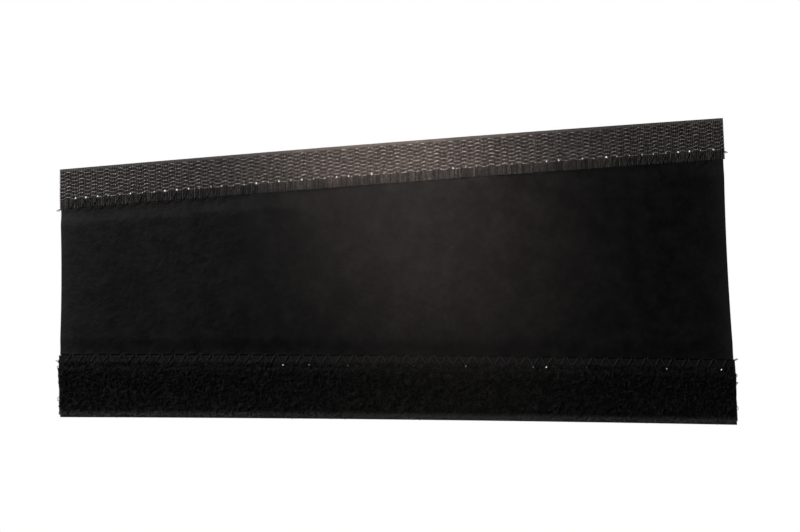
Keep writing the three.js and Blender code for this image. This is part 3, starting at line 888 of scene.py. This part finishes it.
def loop_tape_mesh():
    along = np.linspace(0, LOOP_TAPE_LENGTH, LOOP_BASE_COLUMNS)
    inner = np.linspace(RIM_WIDTH, LOOP_TAPE_WIDTH - RIM_WIDTH, LOOP_BASE_ROWS)
    rim = np.array([0, RIM_LINE])
    across = np.concatenate([rim, inner, LOOP_TAPE_WIDTH - rim[::-1]])
    across, along = np.meshgrid(across, along, indexing="ij")
    under = tape_underside(across)
    uneven = 1 + PILE_LUMP_SHARE * lumps(along, across, 3, PILE_LUMP_SPACING)
    top = under + LOOP_BASE_THICKNESS + pile_height(across) * uneven
    round_rim(top, under, 0.5)
    grids = [np.stack([along, across, height], -1) for height in (top, under)]
    return closed_sheet("loop_tape_base", grids)[0]


def pile_nylon(name, dark, light):
    """Black nylon, dusty in patches, with painted floor glow by the outer selvedge and paler by the inner."""
    material, tree, shader, at = new_material(name, 0.6, 0.2, 0.01)
    mask, normal = strands(tree, at, (3600.0, 3600.0, 3600.0), PILE_STRAND_DEPTH)
    patches = rising(tree, noise(tree, at, 520.0, 3.0, 0.55), 0.42, 0.75)
    dusty = blended(tree, mask * patches, dark, light)
    inner = LOOP_TAPE_WIDTH - INNER_LOOP_SELVEDGE
    across = straight_place(tree)[1]
    # Painted glow: lighter grey towards the outer selvedge for the lit floor's light on the fibres; a little
    # paler near the inner one.
    glow_and_pale = fade(tree, across, *GLOWING_OUTER_PILE)
    glow_and_pale += (1.0 - fade(tree, across, inner - PALE_INNER_PILE, inner + PALE_INNER_PILE)) * INNER_PALENESS
    tree.links.new(blended(tree, glow_and_pale * (mask * 0.8 + 0.2), dusty, SELVEDGE_GREY_AND_GLOW), shader["Base Color"])
    tree.links.new(normal, shader["Normal"])
    return material


def pierced_tree(material):
    """Cuts a round needle hole through the tape at each of the seam's hole points."""
    tree, geometry, size = geometry_tree("pierced_tape", ["Hole Points", "Hole Radius", "Punch Length"])
    holes = add(tree, "GeometryNodeObjectInfo", {"Object": size["Hole Points"]}).outputs["Geometry"]
    width = split(tree, position(tree))[2] * size["Hole Radius"]
    eight_sided = {"Vertices": 8, "Radius": 1.0, "Depth": size["Punch Length"]}
    punch = made(tree, "GeometryNodeMeshCylinder", eight_sided)
    punches = copies_at(tree, holes, punch, Scale=point(tree, width, width, 1.0))
    cut = made(tree, "GeometryNodeMeshBoolean", {0: geometry, 1: punches}, operation="DIFFERENCE")
    finish_tree(tree, cut, material)
    return tree


def pile_surface(first_across, last_across):
    """The part of the tape's top that loops grow from, as an open grid."""
    across = np.linspace(first_across, last_across, 24)
    along = np.linspace(LOOP_END_INSET, LOOP_TAPE_LENGTH - LOOP_END_INSET, 300)
    across, along = np.meshgrid(across, along, indexing="ij")
    up = tape_underside(across) + LOOP_BASE_THICKNESS + pile_height(across) - LOOP_ROOT
    quads = grid_quads(np.arange(across.size).reshape(across.shape))
    mesh = bpy.data.meshes.new("pile_surface")
    mesh.from_pydata(np.stack([along, across, up], -1).reshape(-1, 3), [], quads)
    return mesh


def loop_pile_tree(material, seed):
    """Scatters small tangled loops over the pile's surface."""
    tree, geometry, size = geometry_tree("loop_pile", [
        "Density", "Loop Radius", "Fibre", "Inner Selvedge", "Selvedge Share",
    ])
    spots = add(tree, "GeometryNodeDistributePointsOnFaces", {
        "Mesh": geometry, "Density": size["Density"], "Seed": seed,
    }, distribute_method="RANDOM").outputs["Points"]
    curl = made(tree, "GeometryNodeCurveArc", {
        "Resolution": 6, "Radius": size["Loop Radius"], "Start Angle": math.radians(-40),
        "Sweep Angle": math.radians(250),
    }, mode="RADIUS")
    curl = moved(tree, curl, z=split(tree, position(tree))[0] * 0.35)
    upright = {"Geometry": curl, "Rotation": (math.pi / 2, 0.0, 0.0)}
    curl = made(tree, "GeometryNodeTransform", upright)
    loop = tube(tree, curl, oval(tree, size["Fibre"], size["Fibre"], 3))
    turned = made(tree, "FunctionNodeRandomValue", {
        "Min": (-1.2, -1.2, 0.0), "Max": (1.2, 1.2, 2 * math.pi), "Seed": seed + 1,
    }, data_type="FLOAT_VECTOR")
    uneven = {2: 0.65, 3: 1.3, "Seed": seed + 2}
    scaled = Wire(tree, add(tree, "FunctionNodeRandomValue", uneven, data_type="FLOAT").outputs[1])
    across = split(tree, position(tree))[1]
    flat = fade(tree, across, *SMALL_OUTER_LOOPS) + 1.0
    flat -= fade(tree, across, size["Inner Selvedge"] - SMALL_INNER_LOOPS, size["Inner Selvedge"])
    scaled *= 1.0 - flat * (1.0 - size["Selvedge Share"])
    finish_tree(tree, copies_at(tree, spots, loop, Rotation=turned, Scale=scaled), material)
    return tree


needle_holes = hole_points(loop_seam)
base_black = pile_nylon("black_loop_base", PILE_SHADE, PILE_BLACK)
loop_tape_base = grown("loop_tape_base", pierced_tree(base_black), {
    "Hole Points": needle_holes, "Hole Radius": PIERCED_RADIUS / MM, "Punch Length": PUNCH_LENGTH,
}, loop_edge, loop_tape_mesh())
bpy.data.objects.remove(needle_holes)
pile_black = pile_nylon("black_loop_pile", PILE_BLACK, PILE_GREY)
loop_pile = []
pile_bands = np.linspace(FIRST_LOOPS, LAST_LOOPS, 4)
for band, (first_across, last_across) in enumerate(zip(pile_bands[:-1], pile_bands[1:])):
    loop_pile.append(grown(f"loop_pile_{band + 1}", loop_pile_tree(pile_black, 40 + 10 * band), {
        "Density": LOOPS_PER_SQUARE_MM / MM**2, "Loop Radius": LOOP_RADIUS, "Fibre": LOOP_FIBRE,
        "Inner Selvedge": LOOP_TAPE_WIDTH - INNER_LOOP_SELVEDGE, "Selvedge Share": SELVEDGE_LOOP_SHARE,
    }, loop_edge, pile_surface(first_across, last_across)))
for piece in (loop_tape_base, *loop_pile):
    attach(piece, "root")
    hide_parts("loop_tape")


# The stitching. Twisted black polyester thread zigzags between the tape and the panel: the needle thread
# lies on the front and the bobbin thread on the back, and they lock inside the sheet at every turn.
THREAD_WIDTH = 0.34 * MM
THREAD_IN_HOLE = 0.35 * MM
THREAD_BITE = 0.05 * MM
FIRST_TAIL = ((-1.1 * MM, 1.6 * MM), (0.3 * MM, 0.9 * MM))
LAST_TAIL = ((-0.4 * MM, -1.0 * MM), (1.1 * MM, -0.4 * MM))
NEEDLE_SUNK = 0.3 * MM
NEEDLE_LOCK = TAPE_UNDERSIDE + 0.2 * MM
BOBBIN_HEIGHT = 0.3 * MM
BOBBIN_SUNK = 0.1 * MM
BOBBIN_LOCK = TAPE_UNDERSIDE - 0.2 * MM
THREAD_STEP = 0.22 * MM
THREAD_TURNS_PER_METRE = 650.0
THREAD_BLACK = (0.014, 0.013, 0.012, 1)
THREAD_SHEEN = (0.050, 0.047, 0.044, 1)


def thread_route(seam, lying, sunk, lock):
    """The zigzag through every needle point: up out of one, across, and down into the next. The pull of the
    stitch draws it to the panel's side of each hole, and a short tail is left at both ends of the seam."""
    stops = np.empty((2 * len(seam.holes), 2))
    stops[0::2] = np.column_stack([seam.holes, np.full(len(seam.holes), seam.tape_row + THREAD_IN_HOLE)])
    stops[1::2] = np.column_stack([seam.turns, np.full(len(seam.turns), seam.panel_row)])
    rise = (lock + lying) / 2
    route = [(along, seam.tape_row + across, lying) for along, across in FIRST_TAIL]
    into_panel = ((0.0, lock), (0.07, rise), (0.16, lying), (0.5, lying), (0.78, lying), (0.88, sunk))
    into_tape = ((0.0, lock), (0.12, sunk), (0.22, lying), (0.5, lying), (0.84, lying), (0.93, rise))
    for leg, (a, b) in enumerate(zip(stops[:-1], stops[1:])):
        for share, height in (into_tape if leg % 2 else into_panel):
            route.append((*(a + share * (b - a)), height))
    route.append((*stops[-1], lock))
    route += [(seam.edge.length + along, seam.panel_row + across, lying) for along, across in LAST_TAIL]
    mesh = bpy.data.meshes.new("thread_route")
    steps = np.arange(len(route))
    mesh.from_pydata(route, np.column_stack([steps[:-1], steps[1:]]), [])
    return mesh


def ply_tree(material):
    """Three plies twisted together along a route."""
    tree, geometry, size = geometry_tree("twisted_thread", ["Thread Width", "Step", "Turns Per Metre"])
    curve = made(tree, "GeometryNodeMeshToCurve", {"Mesh": geometry})
    curve = made(tree, "GeometryNodeCurveSplineType", {"Curve": curve}, spline_type="CATMULL_ROM")
    steps = {"Curve": curve, "Length": size["Step"]}
    curve = made(tree, "GeometryNodeResampleCurve", steps, mode="LENGTH")
    reach = Wire(tree, add(tree, "GeometryNodeSplineParameter").outputs["Length"])
    tilt = reach * size["Turns Per Metre"] * (2 * math.pi)
    curve = made(tree, "GeometryNodeSetCurveTilt", {"Curve": curve, "Tilt": tilt})
    circle = made(tree, "GeometryNodeCurvePrimitiveCircle", {"Resolution": 9, "Radius": 0.5})
    x, y, _ = split(tree, position(tree))
    lobe = (calculated(tree, "ARCTAN2", y, x) * 3.0).math("COSINE") * 0.16 + 0.9
    width = lobe * size["Thread Width"]
    lobed = made(tree, "GeometryNodeSetPosition", {
        "Geometry": circle, "Position": point(tree, x * width, y * width),
    })
    finish_tree(tree, tube(tree, curve, lobed), material)
    return tree


def polyester_thread():
    material, tree, shader, at = new_material("black_polyester_thread", 0.5, 0.45, 0.05)
    shade = noise(tree, at, 5000.0, 2.0, 0.6)
    tree.links.new(blended(tree, shade, THREAD_BLACK, THREAD_SHEEN), shader["Base Color"])
    return material


ply = ply_tree(polyester_thread())
for name, seam in (("hook_seam", hook_seam), ("loop_seam", loop_seam)):
    on_top = seam.tape_top + THREAD_WIDTH / 2 - THREAD_BITE
    for side, lying, sunk, lock in (
        ("needle", on_top, seam.tape_top - NEEDLE_SUNK, NEEDLE_LOCK),
        ("bobbin", BOBBIN_HEIGHT, PRESSED_BACK + BOBBIN_SUNK, BOBBIN_LOCK),
    ):
        thread = grown(f"{name}_{side}_ply", ply, {
            "Thread Width": THREAD_WIDTH, "Step": THREAD_STEP, "Turns Per Metre": THREAD_TURNS_PER_METRE,
        }, seam.edge, thread_route(seam, lying, sunk, lock))
        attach(thread, "root")
        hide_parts(f"{name}_{side}_thread")


# The studio. A white lit floor, a long soft light beyond the hook tape, a warm gridded one that makes a pool
# of light on the middle of that tape, and the camera looking nearly straight down from under half a metre.
CAMERA_PLACE = (30.58 * MM, -4.79 * MM, 439.14 * MM)
CAMERA_TURN = (0.864, 3.583, 0.205)


def lit_floor():
    """A floor that glows white upwards and is clear from below."""
    material = bpy.data.materials.new("lit_white_floor")
    material.use_nodes = True
    tree = material.node_tree
    tree.nodes.clear()
    glow = made(tree, "ShaderNodeEmission", {"Color": (1, 1, 1, 1), "Strength": 1.0})
    clear = made(tree, "ShaderNodeBsdfTransparent")
    behind = add(tree, "ShaderNodeNewGeometry").outputs["Backfacing"]
    seen = made(tree, "ShaderNodeMixShader", {0: behind, 1: glow, 2: clear})
    add(tree, "ShaderNodeOutputMaterial", {0: seen})
    return material


floor_mesh = bpy.data.meshes.new("studio_floor")
floor_mesh.from_pydata([(-20, -20, 0), (20, -20, 0), (20, 20, 0), (-20, 20, 0)], [], [(0, 1, 2, 3)])
floor = shown("studio_floor", floor_mesh, lit_floor())


def soft_light(name, place, aim, sides, power, spread=180, colour=(1, 1, 1)):
    light = bpy.data.lights.new(name, "AREA")
    light.shape, light.energy, light.color = "RECTANGLE", power, colour
    light.size, light.size_y = sides
    light.spread = math.radians(spread)
    lamp = bpy.data.objects.new(name, light)
    lamp.location = place
    lamp.rotation_euler = (Vector(aim) - Vector(place)).to_track_quat("-Z", "Y").to_euler()
    bpy.context.collection.objects.link(lamp)


soft_light("long_softbox", (-0.48, 0.4, 0.46), (0, 0, 0), (0.5, 0.25), 3.2)
soft_light("gridded_softbox", (-0.056, 0.17, 0.75), (-0.004, 0.06, 0), (0.04, 0.16), 0.037,
           spread=10.5, colour=(1.0, 0.83, 0.77))
world = bpy.data.worlds.new("studio")
bpy.context.scene.world = world
world.use_nodes = True
world.node_tree.nodes["Background"].inputs["Color"].default_value = (0.93, 0.95, 1.0, 1)
world.node_tree.nodes["Background"].inputs["Strength"].default_value = 0.05
bpy.context.scene.view_settings.view_transform = "Standard"
camera = bpy.data.objects.new("camera", bpy.data.cameras.new("camera"))
bpy.context.collection.objects.link(camera)
camera.location = CAMERA_PLACE
camera.rotation_euler = [math.radians(turn) for turn in CAMERA_TURN]
camera.data.lens = 50
camera.data.sensor_width = 36
camera.data.clip_start = 0.01
bpy.context.scene.camera = camera
